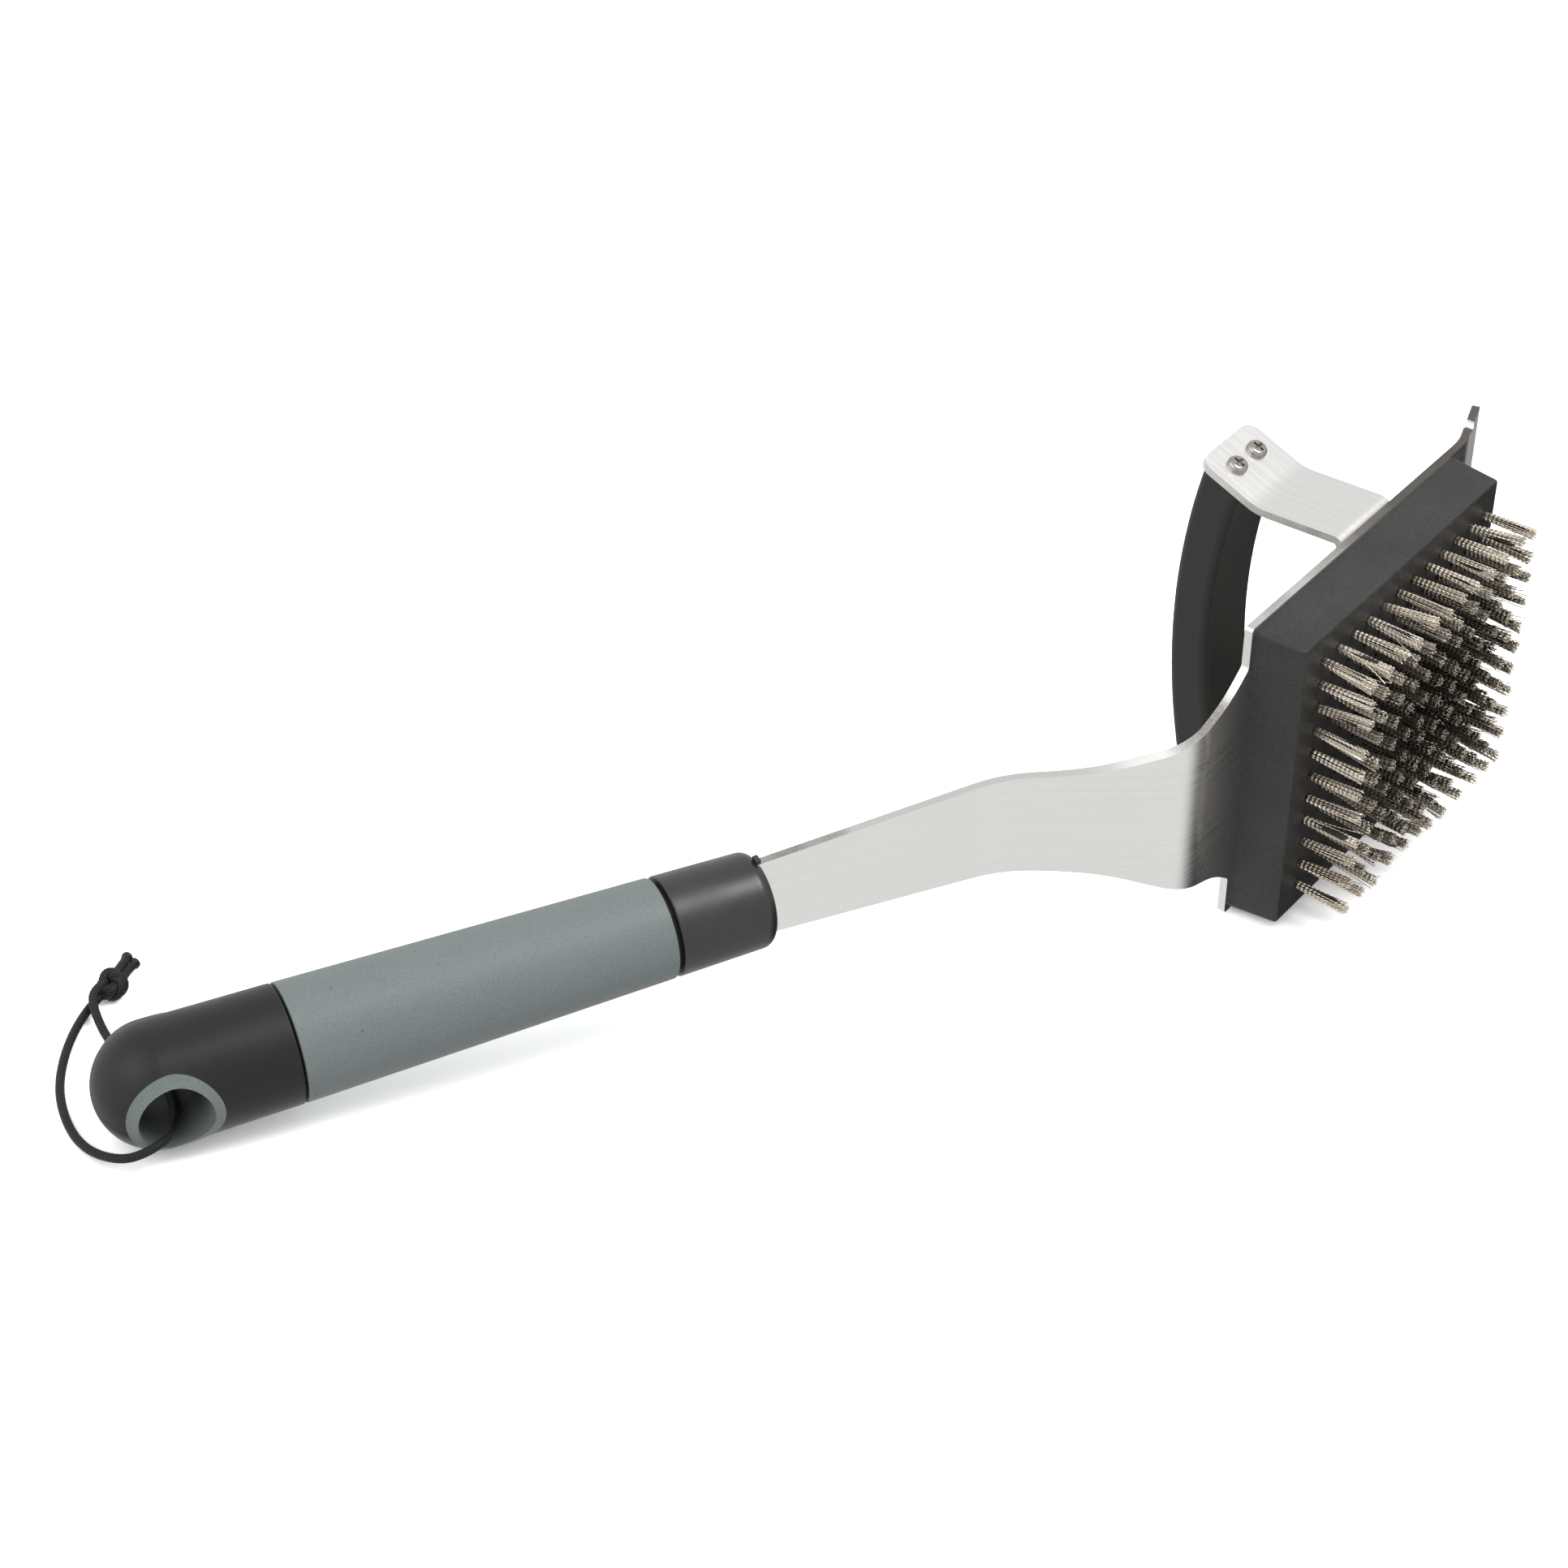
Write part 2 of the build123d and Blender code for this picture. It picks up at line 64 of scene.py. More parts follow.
# Lanyard: the CAD route's points, X and Y from the hanging hole's middle and Z from the table
CORD = 0.0025
ROUTE = [
    (0.0018, 0.0590, 0.0028),
    (-0.0022, 0.0568, 0.0016),
    (-0.0080, 0.0500, 0.00125),
    (-0.0130, 0.0418, 0.00125),
    (-0.0170, 0.0332, 0.00125),
    (-0.0200, 0.0242, 0.00125),
    (-0.0214, 0.0150, 0.00125),
    (-0.0214, 0.0060, 0.0013),
    (-0.0199, -0.0022, 0.0023),
    (-0.0166, -0.0094, 0.0042),
    (-0.0120, -0.0149, 0.0067),
    (-0.0054, -0.0157, 0.0094),
    (-0.0002, -0.0112, 0.0095),
    (0.0026, -0.0044, 0.0093),
    (0.0036, 0.0040, 0.0097),
    (0.0032, 0.0126, 0.0103),
    (0.0024, 0.0198, 0.0089),
    (0.0008, 0.0266, 0.0050),
    (-0.0014, 0.0334, 0.0023),
    (-0.0028, 0.0404, 0.0016),
    (-0.0034, 0.0472, 0.0028),
    (-0.0034, 0.0528, 0.0045),
    (-0.0018, 0.0574, 0.0052),
    (0.0020, 0.0602, 0.0050),
]
TAILS = [
    [(0.0050, 0.0628, 0.0042), (0.0076, 0.0668, 0.0034), (0.0098, 0.0702, 0.0025), (0.0114, 0.0728, 0.0020)],
    [(0.0061, 0.0613, 0.0030), (0.0086, 0.0652, 0.0021), (0.0109, 0.0687, 0.0014), (0.0129, 0.0704, 0.0014)],
]
CARRIERS = 8  # strands wound each way round the cord
BRAID_PITCH = 0.0077
BRAID_STEP = 0.00025  # between a strand's rings
STRAND = (0.00023, 0.00017)  # half width and half height of one strand
STRAND_WAVE = 0.00007  # how far a strand rises over the ones it crosses
STRAND_SIDES = 6
CORE_STRIDE = 4  # braid steps between the rings of the plain core
KNOT_UNIT = 0.00118  # a third of the radius that the knot's centre line reaches
KNOT_POINTS = 26
KNOT_TURNS = (-22.0, -8.0, 135.0)
KNOT_SHIFT = (0.1, -0.1, 0.1)  # in knot units
KNOT_OPEN = 0.25  # how far round from its third lobe the two cords go in and come out
KNOT_DEPTH = 1.15  # in knot units
KNOT_SPACING = 0.42  # of the cord's thickness, from the middle of the pair to each cord
MELTED = (0.00155, 0.0011)  # radius and half height of a tail's melted end
MELTED_SIDES = 14
MELTED_RINGS = 10

# Bristles
TUFT_REACH = 0.0167
WIRES = 30
WIRE_RADIUS = 0.00018
WIRE_STEPS = 68
WIRE_START = 0.0015  # this deep in its hole
BUNDLE_ROOT = 0.00098  # a tuft's radius at the block
BUNDLE_TIP = 0.00172
BUNDLE_GROWTH = 0.6  # power of the height at which a tuft widens
CRIMP_PITCH = 0.00138
CRIMP = 0.00011
CRIMP_STARTS = 0.001  # full from this far above the block
CRIMP_SPREADS = (0.15, 0.35)  # how much the waves' directions and phases differ within a tuft
BEND = 0.00032
STRAY = (0.03, 0.0016)  # share of wires that stray, and how far
# The packed inner wires are one dark cone, whose colour is painted shade between the wires.
CORE_SHARE = 0.6  # of a tuft's width that its packed inner wires fill
CORE_REACH = 0.86  # of its length
CORE_SIDES = 10
CORE_RINGS = 9
GOLDEN_TURN = 2.39996  # radians between one wire and the next round a tuft
LEAN = 0.00065
UNEVEN = 0.0004  # how much the cut ends differ
CUTS = [0.4, 1.0, 1.6]  # shares of that: clean, usual and ragged
PAINTED_INNER_SHADE = 0.6  # how dark the painted shade makes the innermost tufts
PAINTED_INNER_SHADE_DEPTH = 0.020  # from the outer tufts in to those

# Steel that has browned by heat: from this far off the scraper's tip, and fully this far
BROWNED = (0.10, 0.06)

# Painted shade in the hanging hole's liner, along the hole from its middle: grey at the mouths and dark
# between
LINER_SHADE_NEAR = (-0.0135, -0.0025)
LINER_SHADE_FAR = (0.0095, 0.0135)

# Light
BRIGHT_SIDE = (-0.90, 0.0, 0.43)
BRIGHT_CONE = (0.5, 0.95)  # cosines from that side where the extra light starts and is full
BRIGHT_EXTRA = 0.45
SURROUND = 0.9
DARK_CONE = (-0.93, -0.74)  # cosines on the opposite side where the dark is full and ends
DARKEST = 0.02
LIGHT_TARGET = (0, 0, 0.03)
FLOOR_HALF = 8.0


# ---- Frames ----
def turn(degrees, axis):
    """Rotation about an axis, in degrees."""
    return Matrix.Rotation(math.radians(degrees), 3, axis)


handle_turn = turn(-RISE, "Y") @ turn(ROLL, "X")
head_turn = handle_turn @ turn(HANDLE_ANGLE, "Z")
HEAD = np.array(head_turn)


def coordinates(mesh):
    """A mesh's vertices as an array."""
    flat = np.zeros(3 * len(mesh.vertices))
    mesh.vertices.foreach_get("co", flat)
    return flat.reshape(-1, 3)


def middle(node):
    """Middle of a CAD node's box."""
    low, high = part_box(node)
    return (low + high) / 2


# ---- Camera ----
camera_data = bpy.data.cameras.new("camera")
camera_data.lens = LENS
camera = bpy.data.objects.new("camera", camera_data)
camera_turn = turn(CAMERA_HEADING, "Z") @ turn(90 - CAMERA_DOWN, "X") @ turn(CAMERA_ROLL, "Z")
camera.matrix_world = Matrix.Translation(CAMERA_AT) @ camera_turn.to_4x4()
bpy.context.scene.collection.objects.link(camera)
bpy.context.scene.camera = camera


# ---- Building pieces from arrays ----
def sweep(centres, across, up, half_width, half_height, sides):
    """Points and quads of a tube along centres, whose rings are ellipses in the across and up directions."""
    angles = 2 * np.pi * np.arange(sides) / sides
    ring = np.cos(angles)[None, :, None] * half_width * across[:, None]
    ring = ring + np.sin(angles)[None, :, None] * half_height * up[:, None]
    points = (centres[:, None] + ring).reshape(-1, 3)
    start = sides * np.arange(len(centres) - 1)[:, None]
    side = np.arange(sides)[None, :]
    after = (side + 1) % sides
    quads = np.stack([start + side, start + after, start + sides + after, start + sides + side], axis=2)
    return points, quads.reshape(-1, 4)


def tapered(centres, radii, across, up, sides):
    """Points and quads of a straight round tube whose rings have radii of their own."""
    ways = [np.tile(way, (len(centres), 1)) for way in (across, up)]
    ring_points, quads = sweep(np.zeros((len(centres), 3)), *ways, 1, 1, sides)
    points = np.repeat(centres, sides, axis=0) + ring_points * np.repeat(radii, sides)[:, None]
    return points, quads


def merged(parts):
    """Several (points, quads) as one."""
    offsets = np.cumsum([0] + [len(points) for points, _ in parts[:-1]])
    points = np.concatenate([points for points, _ in parts])
    quads = np.concatenate([quads + offset for (_, quads), offset in zip(parts, offsets)])
    return points, quads


def piece(name, points, quads, material, slot, replaced=()):
    """A smooth-shaded object from arrays, riding on the brush."""
    mesh = bpy.data.meshes.new(name)
    mesh.vertices.add(len(points))
    mesh.vertices.foreach_set("co", points.astype(np.float32).ravel())
    mesh.loops.add(quads.size)
    mesh.loops.foreach_set("vertex_index", quads.astype(np.int32).ravel())
    mesh.polygons.add(len(quads))
    mesh.polygons.foreach_set("loop_start", np.arange(0, quads.size, 4, dtype=np.int32))
    mesh.polygons.foreach_set("use_smooth", np.ones(len(quads), dtype=bool))
    mesh.update(calc_edges=True)
    mesh.materials.append(material)
    obj = bpy.data.objects.new(name, mesh)
    bpy.context.scene.collection.objects.link(obj)
    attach(obj, "root")
    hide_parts(*replaced)
    return obj


# ---- Materials ----
class Nodes:
    """Short ways to add nodes to a node tree."""

    def __init__(self, tree):
        self.tree = tree

    def set(self, socket, value):
        """Links a socket to another one, or gives it a value."""
        if isinstance(value, bpy.types.NodeSocket):
            self.tree.links.new(value, socket)
        else:
            socket.default_value = value

    def node(self, kind, *inputs, output=0, **settings):
        """Adds a node with its inputs in order, and returns one of its outputs."""
        made = self.tree.nodes.new(f"ShaderNode{kind}")
        for name, value in settings.items():
            setattr(made, name, value)
        for socket, value in zip(made.inputs, inputs):
            if value is not None:
                self.set(socket, value)
        return made.outputs[output]

    def place(self, rotation, stretch=(1, 1, 1)):
        """The object's coordinates turned into a part's own frame and then stretched."""
        raw = self.node("TexCoord", output=3)
        turned = self.node("Mapping", raw, None, rotation.transposed().to_euler())
        return self.node("Mapping", turned, None, None, stretch)

    def noise(self, place, scale, detail=3.0, roughness=0.5):
        """Smooth random values from 0 to 1."""
        made = self.tree.nodes.new("ShaderNodeTexNoise")
        self.set(made.inputs["Vector"], place)
        made.inputs["Scale"].default_value = scale
        made.inputs["Detail"].default_value = detail
        made.inputs["Roughness"].default_value = roughness
        return made.outputs["Fac"]

    def spread(self, value, low, high, out_low, out_high):
        """Maps a value from one range to another and clamps it."""
        return self.node("MapRange", value, low, high, out_low, out_high)

    def ramp(self, value, stops):
        """A colour from a value, through (position, colour) stops."""
        made = self.tree.nodes.new("ShaderNodeValToRGB")
        self.set(made.inputs[0], value)
        elements = made.color_ramp.elements
        while len(elements) < len(stops):
            elements.new(0.5)
        for element, (position, colour) in zip(elements, stops):
            element.position = position
            element.color = (*colour, 1)
        return made.outputs[0]

    def mix(self, share, first, second):
        """Two colours mixed by a share."""
        made = self.tree.nodes.new("ShaderNodeMix")
        made.data_type = "RGBA"
        for index, value in ((0, share), (6, first), (7, second)):
            self.set(made.inputs[index], (*value, 1) if isinstance(value, tuple) else value)
        return made.outputs[2]

    def attribute(self, name):
        """A number that the mesh holds."""
        made = self.tree.nodes.new("ShaderNodeAttribute")
        made.attribute_name = name
        return made.outputs["Fac"]


class Look(Nodes):
    """A node material with one principled shader."""

    def __init__(self, name, **sockets):
        self.material = bpy.data.materials.new(name)
        self.material.use_nodes = True
        super().__init__(self.material.node_tree)
        self.shader = self.tree.nodes["Principled BSDF"]
        for socket, value in sockets.items():
            self.set(self.shader.inputs[socket], value)

    def colour(self, value):
        """Sets the base colour."""
        self.set(self.shader.inputs["Base Color"], value)

    def rough(self, value):
        """Sets the roughness."""
        self.set(self.shader.inputs["Roughness"], value)

    def bump(self, height, distance, strength=1.0):
        """Fine relief, its depth in metres; bumps that are added later lie over the earlier ones."""
        made = self.tree.nodes.new("ShaderNodeBump")
        made.inputs["Strength"].default_value = strength
        made.inputs["Distance"].default_value = distance
        self.set(made.inputs["Height"], height)
        normal = self.shader.inputs["Normal"]
        if normal.is_linked:
            self.set(made.inputs["Normal"], normal.links[0].from_socket)
        self.set(normal, made.outputs[0])


def grey(value, warm=0.0):
    """A grey colour, warmer or cooler by a share."""
    return (value * (1 + warm), value, value * (1 - warm))


def moulded(name, dark, light, rough, grain, depth, warm=0.02, gloss=0.5):
    """Moulded plastic: a fine spark-eroded grain, with faint blotches in colour and shine."""
    look = Look(name, **{"Specular IOR Level": gloss})
    place = look.place(head_turn)
    blotch = look.noise(place, 60.0, 4.0)
    fine = look.noise(place, grain, 2.0)
    share = look.spread(look.node("Math", blotch, fine, operation="ADD"), 0.75, 1.25, 0.0, 1.0)
    look.colour(look.mix(share, grey(dark, warm), grey(light, warm)))
    look.rough(look.spread(blotch, 0.3, 0.7, rough - 0.05, rough + 0.07))
    look.bump(fine, depth)
    return look.material


def rubber(name, hole_at=None):
    """Soft grey-teal rubber with a fine speckle and a few darker specks.

    A liner gets painted shade deep in its hole, whose middle lies at hole_at across the handle.
    """
    look = Look(name)
    place = look.place(handle_turn)
    fine = look.noise(place, 2600.0, 2.0)
    cloud = look.noise(place, 45.0, 3.0)
    specks = look.noise(place, 420.0, 1.0)
    base = look.mix(look.spread(fine, 0.35, 0.65, 0.0, 1.0), (0.121, 0.141, 0.140), (0.159, 0.184, 0.182))
    base = look.mix(look.spread(cloud, 0.35, 0.75, 0.0, 0.22), base, (0.176, 0.198, 0.196))
    base = look.mix(look.spread(specks, 0.76, 0.82, 0.0, 0.45), base, (0.05, 0.06, 0.06))
    # Painted shade: the liner darkens deep in the hole.
    if hole_at is not None:
        across = look.node("SeparateXYZ", place, output=1)
        depth = look.node("Math", across, -hole_at, operation="ADD")
        near = look.spread(depth, *LINER_SHADE_NEAR, 0.0, 0.97)
        far = look.spread(depth, *LINER_SHADE_FAR, 1.0, 0.0)
        shade = look.node("Math", near, far, operation="MULTIPLY")
        base = look.mix(shade, base, (0.003, 0.004, 0.004))
    look.colour(base)
    look.rough(look.spread(cloud, 0.3, 0.7, 0.50, 0.60))
    look.bump(fine, 0.00004, 0.6)
    return look.material


def stretched(axes, coarse, fine):
    """Noise scales per metre: coarse along some axes and fine across them."""
    return [coarse if axis in axes else fine for axis in range(3)]


def brushed(name, rotation, along, edge_axis, shade, grain, tarnished=None):
    """Brushed stainless sheet: streaks along the sheet, and rougher sheared edges facing an axis.

    The edges turn brown between the two places along the first axis that tarnished gives.
    """
    look = Look(name, Metallic=1.0, Anisotropic=grain)
    edge_way = rotation.col[edge_axis]
    look.set(look.shader.inputs["Tangent"], look.node("CombineXYZ", *edge_way))
    streaks = look.noise(look.place(rotation, stretched(along, 5.0, 1500.0)), 1.0, 4.0, 0.65)
    broad = look.noise(look.place(rotation), 26.0, 3.0)
    grooves = look.noise(look.place(rotation, stretched(along, 4.0, 700.0)), 1.0, 1.0)

    marks = look.noise(look.place(rotation, stretched(along, 2800.0, 90.0)), 1.0, 2.0, 0.5)
    worn = look.spread(broad, 0.48, 0.62, 0.35, 1.1)
    shear = look.node("Math", marks, worn, operation="MULTIPLY")
    normal = look.node("NewGeometry", output=1)
    facing = look.node("VectorMath", normal, tuple(edge_way), operation="DOT_PRODUCT", output=1)
    edge = look.spread(look.node("Math", facing, operation="ABSOLUTE"), 0.80, 0.92, 0.0, 1.0)

    dull = tuple(0.95 * channel for channel in shade)
    face_colour = look.mix(look.spread(streaks, 0.35, 0.65, 0.0, 1.0), dull, shade)
    edge_colour = look.mix(look.spread(shear, 0.2, 0.6, 0.0, 1.0), (0.64, 0.635, 0.62), (0.30, 0.285, 0.26))
    if tarnished is not None:
        where = look.node("SeparateXYZ", look.place(rotation))
        edge_colour = look.mix(look.spread(where, *tarnished, 0.0, 0.92), edge_colour, (0.10, 0.088, 0.075))
    look.colour(look.mix(edge, face_colour, edge_colour))

    uneven = look.spread(broad, 0.3, 0.7, -0.03, 0.05)
    look.rough(look.node("Math", look.spread(streaks, 0.3, 0.7, 0.24, 0.30), uneven, operation="ADD"))
    look.bump(grooves, 0.0000015, 0.5)
    look.bump(look.node("Math", shear, edge, operation="MULTIPLY"), 0.00005, 0.6)
    return look.material


def bristle_wire():
    """Drawn steel wire with a straw tint that differs from wire to wire, and painted shade on the inner
    tufts.
    """
    look = Look("bristle_wire", Metallic=1.0)
    marks = look.noise(look.place(head_turn, (900, 200, 900)), 1.0, 3.0)
    colour = look.ramp(look.attribute("wire"), [
        (0.0, (0.50, 0.43, 0.34)), (0.5, (0.80, 0.73, 0.62)), (1.0, (0.98, 0.93, 0.83)),
    ])
    colour = look.mix(look.spread(marks, 0.35, 0.75, 0.0, 0.35), colour, (0.20, 0.155, 0.115))
    # Painted shade: the inner tufts darken towards near black.
    look.colour(look.mix(look.attribute("painted_shade"), colour, (0.035, 0.027, 0.02)))
    look.rough(look.spread(marks, 0.3, 0.7, 0.2, 0.34))
    return look.material


def polished(name, tint, rough):
    """Plated steel with fine scratches and faint stains."""
    look = Look(name, Metallic=1.0)
    stains = look.noise(look.place(head_turn), 700.0, 3.0)
    scratches = look.noise(look.place(head_turn, (5000, 400, 900)), 1.0, 2.0)
    dark = tuple(0.72 * channel for channel in tint)
    look.colour(look.mix(look.spread(stains, 0.35, 0.7, 0.0, 1.0), tint, dark))
    look.rough(look.spread(scratches, 0.3, 0.7, rough, rough + 0.12))
    look.bump(scratches, 0.000008, 0.5)
    return look.material


def braided():
    """Black polyester yarn: fine threads in each strand and a soft sheen."""
    look = Look("black_cord", **{"Sheen Weight": 0.05, "Sheen Roughness": 0.4, "Specular IOR Level": 0.4})
    place = look.place(Matrix.Identity(3))
    fibres = look.noise(place, 6000.0, 2.0)
    dust = look.noise(place, 300.0, 3.0)
    look.colour(look.mix(look.spread(fibres, 0.3, 0.7, 0.0, 1.0), grey(0.0015), (0.009, 0.008, 0.007)))
    look.rough(look.spread(dust, 0.3, 0.7, 0.33, 0.48))
    look.bump(fibres, 0.00003, 0.7)
    return look.material


black_plastic = moulded("black_plastic", 0.006, 0.009, 0.41, 2400.0, 0.000015, 0.03, 0.36)
bar_plastic = moulded("bar_plastic", 0.0105, 0.0145, 0.45, 2400.0, 0.000015, 0.06, 0.36)
# The ferrule's base colour, lighter than the cap's, is painted light on the same black plastic.
lit_ferrule_plastic = moulded("lit_ferrule_plastic", 0.014, 0.019, 0.34, 2400.0, 0.000015, 0.03, 0.6)
block_plastic = moulded("block_plastic", 0.018, 0.033, 0.47, 1200.0, 0.00015, 0.02, 0.35)
core_plastic = moulded("core_plastic", 0.004, 0.007, 0.45, 2000.0, 0.00001)
grey_rubber = rubber("grey_rubber")
eyelet_rubber = rubber("eyelet_rubber", (handle_turn.transposed() @ middle("hang_eyelet")).y)
scraper_tip = (coordinates(nodes["neck_plate"].data) @ HEAD)[:, 0].max()
browned = [scraper_tip - distance for distance in BROWNED]
plate_steel = brushed("plate_steel", head_turn, (0, 1), 2, (0.80, 0.795, 0.775), 0.75, browned)
bracket_steel = brushed("bracket_steel", head_turn, (1, 2), 0, (0.78, 0.775, 0.76), 0.2)
wire_steel = bristle_wire()
# Near-black colour of the packed inner wires: painted shade between the wires.
packed_wire_shade = moulded("packed_wire_shade", 0.006, 0.03, 0.6, 900.0, 0.0003, 0.25, 0.3)
pin_steel = polished("pin_steel", (0.55, 0.54, 0.52), 0.3)
screw_chrome = polished("screw_chrome", (0.42, 0.40, 0.37), 0.12)
black_cord = braided()


# ---- Lanyard ----
def smooth_line(points, name):
    """Points along the NURBS spline that has those control points."""
    data = bpy.data.curves.new(name, "CURVE")
    data.dimensions = "3D"
    data.resolution_u = 12
    spline = data.splines.new("NURBS")
    spline.points.add(len(points) - 1)
    for control, point in zip(spline.points, points):
        control.co = (*point, 1)
    spline.order_u = 3
    spline.use_endpoint_u = True
    holder = bpy.data.objects.new(name, data)
    mesh = bpy.data.meshes.new_from_object(holder)
    line = coordinates(mesh)
    bpy.data.objects.remove(holder)
    bpy.data.meshes.remove(mesh)
    bpy.data.curves.remove(data)
    return line


def resampled(line, step):
    """The line again, with points about a step apart, and the length along it to each."""
    along = np.concatenate([[0], np.cumsum(np.linalg.norm(np.diff(line, axis=0), axis=1))])
    at = np.linspace(0, along[-1], max(3, round(along[-1] / step) + 1))
    return np.stack([np.interp(at, along, line[:, axis]) for axis in range(3)], axis=1), at


def carried_frame(line):
    """Two directions square to the line at every point, which twist as little as they can."""
    tangents = np.gradient(line, axis=0)
    tangents /= np.linalg.norm(tangents, axis=1)[:, None]
    side = np.cross(tangents[0], (0.0, 0.0, 1.0))
    sides = []
    for tangent in tangents:
        side = side - tangent * (side @ tangent)
        side = side / np.linalg.norm(side)
        sides.append(side)
    sides = np.array(sides)
    return sides, np.cross(tangents, sides)


def braid(line):
    """Points and quads of a braided cord along a line: strands wound both ways over a plain core."""
    centres, at = resampled(line, BRAID_STEP)
    side, other = carried_frame(centres)
    half_width, half_height = STRAND
    radius = CORD / 2 - half_height - STRAND_WAVE
    turns = 2 * np.pi * at / BRAID_PITCH
    sparse = slice(None, None, CORE_STRIDE)
    parts = [sweep(centres[sparse], side[sparse], other[sparse], radius, radius, 2 * STRAND_SIDES)]
    for way in (-1, 1):
        height = radius + way * STRAND_WAVE * np.cos(CARRIERS * turns)
        for carrier in range(CARRIERS):
            angle = 2 * np.pi * carrier / CARRIERS + way * turns
            out = np.cos(angle)[:, None] * side + np.sin(angle)[:, None] * other
            strand = centres + out * height[:, None]
            along = np.gradient(strand, axis=0)
            across = np.cross(along / np.linalg.norm(along, axis=1)[:, None], out)
            parts.append(sweep(strand, across, out, half_width, half_height, STRAND_SIDES))
    return merged(parts)


def from_hole(points):
    """Route points from the hanging hole's middle, in the model's frame."""
    return np.array(points) + hole_middle


def blob(at, axis, radius, half_height):
    """A flattened ball, as a melted cord end forms."""
    axis = axis / np.linalg.norm(axis)
    side = np.cross(axis, (0.0, 0.0, 1.0))
    side /= np.linalg.norm(side)
    other = np.cross(axis, side)
    levels = np.linspace(-0.97, 0.97, MELTED_RINGS)
    lumps = 1 + 0.06 * np.sin(2.3 * np.arange(MELTED_RINGS))
    radii = np.sqrt(1 - levels**2) * radius * lumps
    centres = at + np.outer(half_height * levels, axis)
    return tapered(centres, radii, side, other, MELTED_SIDES)


def knot_lines(ends, tails):
    """Control points of the two cords, from the loop's ends through a tight overhand knot to the tails."""
    angle = np.linspace(KNOT_OPEN, 2 * np.pi - KNOT_OPEN, KNOT_POINTS)
    swell = 2 + np.cos(3 * angle)
    loop = np.stack([
        swell * np.cos(2 * angle), swell * np.sin(2 * angle), KNOT_DEPTH * np.sin(3 * angle)
    ], axis=1)
    facing = np.stack([
        np.cos(3 * angle) * np.cos(2 * angle), np.cos(3 * angle) * np.sin(2 * angle), np.sin(3 * angle)
    ], axis=1)
    beside = np.cross(np.gradient(loop, axis=0), facing)
    beside *= KNOT_SPACING * CORD / KNOT_UNIT / np.linalg.norm(beside, axis=1)[:, None]
    knot_turn = np.array(turn(KNOT_TURNS[2], "Z") @ turn(KNOT_TURNS[0], "X") @ turn(KNOT_TURNS[1], "Y"))
    lines = []
    for way, end, tail in zip((1, -1), ends, tails):
        strand = KNOT_UNIT * (loop + way * beside + KNOT_SHIFT) @ knot_turn.T + middle("lanyard_knot")
        lines.append(np.concatenate([end, strand, tail]))
    return lines


hole_middle = np.array(middle("hang_eyelet"))
hole_middle[2] = 0
cord_line = smooth_line(from_hole(ROUTE), "route")
cord_points, cord_quads = braid(cord_line)
cord = piece("lanyard_cord_braid", cord_points, cord_quads, black_cord, "black_cord", ["lanyard_cord"])

# Each line of the knot starts with two points of a cord's end and finishes with two of a tail.
tail_lines = [smooth_line(from_hole(tail), "tail") for tail in TAILS]
loop_ends = (cord_line[[6, 0]], cord_line[[-7, -1]])
knot_parts = []
for line in knot_lines(loop_ends, [tail[[0, 4]] for tail in tail_lines]):
    knot_parts.append(braid(smooth_line(line, "knot_line")))
knot = piece("lanyard_knot_tied", *merged(knot_parts), black_cord, "black_cord", ["lanyard_knot"])

tail_parts = []
for line in tail_lines:
    tail_parts.append(braid(line))
    tail_parts.append(blob(line[-1], line[-1] - line[-5], *MELTED))
tails = piece("lanyard_tail_ends", *merged(tail_parts), black_cord, "black_cord", ["lanyard_tails"])


# ---- Bristles ----
def tuft_places(node):
    """Middle of the tip of every tuft in a CAD row, in the head's frame."""
    points = coordinates(nodes[node].data) @ HEAD
    points = points[np.argsort(points[:, 0])]
    cuts = np.flatnonzero(np.diff(points[:, 0]) > TUFT_REACH / 8) + 1
    places = []
    for corners in np.split(points, cuts):
        low, high = corners.min(axis=0), corners.max(axis=0)
        places.append(((low[0] + high[0]) / 2, low[1], (low[2] + high[2]) / 2))
    return places


def bundle(at):
    """A tuft's radius at a height over the block."""
    grown = np.clip(at / TUFT_REACH, 0, None)
    return BUNDLE_ROOT + (BUNDLE_TIP - BUNDLE_ROOT) * grown**BUNDLE_GROWTH


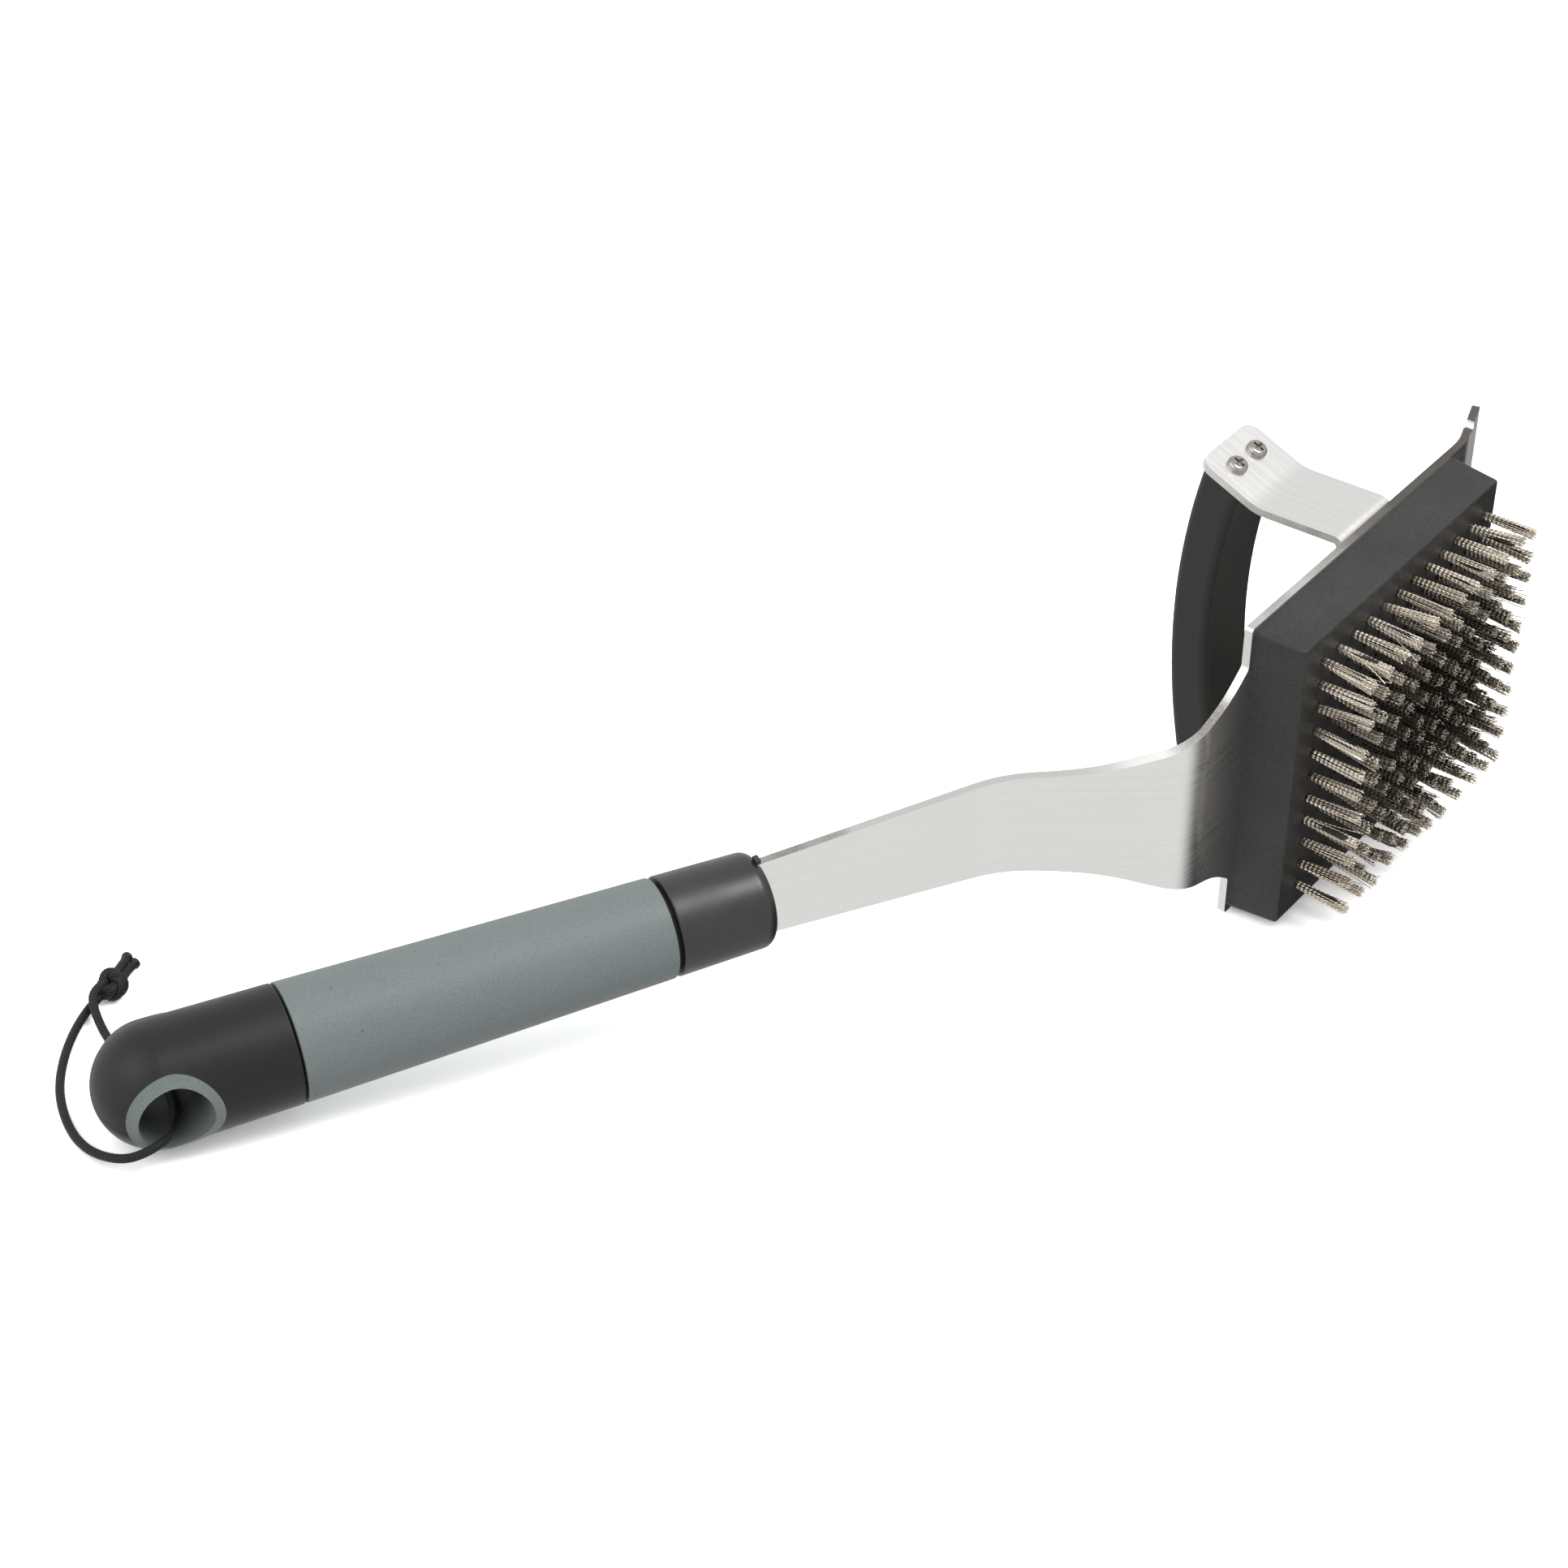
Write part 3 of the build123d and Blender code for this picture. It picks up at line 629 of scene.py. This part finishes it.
def tuft(place, rng):
    """Centre lines of one tuft's crimped wires, in the head's frame: wires x steps x 3."""
    x, tip, z = place
    number = np.arange(WIRES)
    share = np.sqrt((number + 0.5) / WIRES)
    angle = GOLDEN_TURN * number + rng.uniform(0, 2 * np.pi) + rng.normal(0, 0.15, WIRES)
    spot = share[:, None] * np.stack([np.cos(angle), np.sin(angle)], axis=1)
    length = TUFT_REACH + rng.uniform(-UNEVEN, UNEVEN, WIRES) * rng.choice(CUTS, WIRES)
    at = np.linspace(-WIRE_START, length, WIRE_STEPS + 1).T
    grown = np.clip(at / TUFT_REACH, 0, None)
    bend = rng.normal(0, BEND, (WIRES, 2))
    strays = rng.random(WIRES) < STRAY[0]
    bend[strays] = rng.normal(0, STRAY[1], (strays.sum(), 2))
    lean = rng.normal(0, LEAN, 2)
    wave_way = rng.uniform(0, np.pi) + rng.normal(0, CRIMP_SPREADS[0], WIRES)
    phase = rng.uniform(0, 2 * np.pi) + rng.normal(0, CRIMP_SPREADS[1], WIRES)
    wave = CRIMP * np.sin(2 * np.pi * at / CRIMP_PITCH + phase[:, None]) * np.clip(at / CRIMP_STARTS, 0, 1)
    lines = np.empty((WIRES, WIRE_STEPS + 1, 3))
    lines[..., 1] = tip + TUFT_REACH - at
    for axis, start, way in ((0, x, np.cos(wave_way)), (2, z, np.sin(wave_way))):
        flat = axis // 2
        sideways = spot[:, flat, None] * bundle(at) + bend[:, flat, None] * grown**2 + lean[flat] * grown
        lines[..., axis] = start + sideways + wave * way[:, None]
    return lines


def wires(lines):
    """Points and quads of four-sided wires along many lines at once, closed at the tip."""
    count, steps = lines.shape[:2]
    ring = WIRE_RADIUS * np.array([(1, 0, 0), (0, 0, 1), (-1, 0, 0), (0, 0, -1)])
    points = (lines[:, :, None] + ring).reshape(-1, 3) @ HEAD.T
    start = (4 * steps * np.arange(count))[:, None, None] + 4 * np.arange(steps - 1)[None, :, None]
    side = np.arange(4)[None, None, :]
    after = (side + 1) % 4
    walls = np.stack([start + side, start + after, start + 4 + after, start + 4 + side], axis=3)
    ends = 4 * steps * np.arange(count)[:, None] + 4 * (steps - 1) + np.arange(4)[None, :]
    return points, np.concatenate([walls.reshape(-1, 4), ends])


def shaded_inner_wires(place):
    """Points and quads of the wires packed inside a tuft, as one cone whose dark colour is painted shade
    between the wires; it stops short of the tips.
    """
    x, tip, z = place
    at = np.linspace(-WIRE_START, CORE_REACH * TUFT_REACH, CORE_RINGS)
    across = np.ones(CORE_RINGS)
    centres = np.stack([x * across, tip + TUFT_REACH - at, z * across], axis=1) @ HEAD.T
    radii = CORE_SHARE * bundle(at)
    radii[-1] *= 0.3
    return tapered(centres, radii, HEAD[:, 0], HEAD[:, 2], CORE_SIDES)


def bristle_row(node, places, seed):
    """One row of wire tufts in place of its CAD node, with each wire's tint and painted shade on its
    vertices.
    """
    rng = np.random.default_rng(seed)
    lines = np.concatenate([tuft(place, rng) for place in places])
    points, quads = wires(lines)
    row = piece(f"{node}_wires", points, quads, wire_steel, "wire_steel", [node])
    corners = 4 * lines.shape[1]
    # Painted shade: the further a tuft sits inside the field of tufts, the darker it is.
    inward = np.minimum(lines[:, 0, [0, 2]] - field_low, field_high - lines[:, 0, [0, 2]]).min(axis=1)
    painted_shade = np.clip(inward / PAINTED_INNER_SHADE_DEPTH, 0, 1) * PAINTED_INNER_SHADE
    for attribute, values in (("wire", rng.random(len(lines))), ("painted_shade", painted_shade)):
        made = row.data.attributes.new(attribute, "FLOAT", "POINT")
        made.data.foreach_set("value", np.repeat(values, corners).astype(np.float32))


row_nodes = sorted(name for name in nodes if name.startswith("tuft_row"))
row_places = [tuft_places(name) for name in row_nodes]
all_places = [place for places in row_places for place in places]
field = np.array(all_places)[:, [0, 2]]
field_low = field.min(axis=0)
field_high = field.max(axis=0)
for seed, (name, places) in enumerate(zip(row_nodes, row_places)):
    bristle_row(name, places, seed)
# The dark cones inside the tufts: painted shade.
cores = merged([shaded_inner_wires(place) for place in all_places])
piece("tuft_inner_wires", *cores, packed_wire_shade, "wire_steel")


# ---- Materials of the CAD nodes that stay ----
LOOKS = {
    "end_cap": black_plastic,
    "front_ferrule": lit_ferrule_plastic,
    "grip_bar": bar_plastic,
    "brush_block": block_plastic,
    "handle_core": core_plastic,
    "grip_sleeve": grey_rubber,
    "hang_eyelet": eyelet_rubber,
    "neck_plate": plate_steel,
    "grip_bracket": bracket_steel,
    "tang_pins": pin_steel,
    "tuft_anchors": pin_steel,
    "grip_screws": screw_chrome,
    "block_screws": screw_chrome,
    "bracket_screws": screw_chrome,
}
for name, material in LOOKS.items():
    nodes[name].data.materials.clear()
    nodes[name].data.materials.append(material)


# ---- Floor and light ----
def floor():
    """A wide pale floor with the faintest mottling."""
    look = Look("floor", **{
        "Specular IOR Level": 0.1, "Emission Color": (1, 1, 1, 1), "Emission Strength": 0.1, "Roughness": 0.9,
    })
    cloud = look.noise(look.place(Matrix.Identity(3)), 3.0, 2.0)
    look.colour(look.mix(cloud, grey(1.5), grey(1.55)))
    mesh = bpy.data.meshes.new("floor")
    corners = [(x * FLOOR_HALF, y * FLOOR_HALF, 0) for x, y in ((-1, -1), (1, -1), (1, 1), (-1, 1))]
    mesh.from_pydata(corners, [], [(0, 1, 2, 3)])
    mesh.materials.append(look.material)
    obj = bpy.data.objects.new("floor", mesh)
    bpy.context.scene.collection.objects.link(obj)
    obj.visible_diffuse = False
    obj.visible_glossy = False


def softbox(name, at, size, power):
    """A square area light that faces the brush."""
    data = bpy.data.lights.new(name, "AREA")
    data.size = size
    data.energy = power
    lamp = bpy.data.objects.new(name, data)
    away = Vector(at) - Vector(LIGHT_TARGET)
    lamp.matrix_world = Matrix.LocRotScale(Vector(at), away.to_track_quat("Z", "Y"), None)
    bpy.context.scene.collection.objects.link(lamp)


def studio():
    """Soft light from all round, brightest from one side and dark opposite, before a plain white backdrop."""
    world = bpy.data.worlds.new("studio")
    world.use_nodes = True
    sky = Nodes(world.node_tree)
    background = world.node_tree.nodes["Background"]
    direction = sky.node("TexCoord")
    lean = sky.node(
        "VectorMath", direction, Vector(BRIGHT_SIDE).normalized(), operation="DOT_PRODUCT", output=1
    )
    light = sky.spread(lean, *DARK_CONE, DARKEST, SURROUND)
    light = sky.node("Math", light, sky.spread(lean, *BRIGHT_CONE, 0.0, BRIGHT_EXTRA), operation="ADD")
    seen = sky.node("LightPath")
    sky.set(background.inputs["Strength"], sky.node("Mix", seen, None, light, 1.0))
    sky.set(background.inputs["Color"], (1, 1, 1, 1))
    bpy.context.scene.world = world


floor()
studio()
softbox("key", (-1.3, -0.2, 1.5), 1.6, 7.0)
softbox("overhead", (0.58, -0.43, 1.6), 0.75, 14.0)
bpy.context.scene.view_settings.view_transform = "Standard"
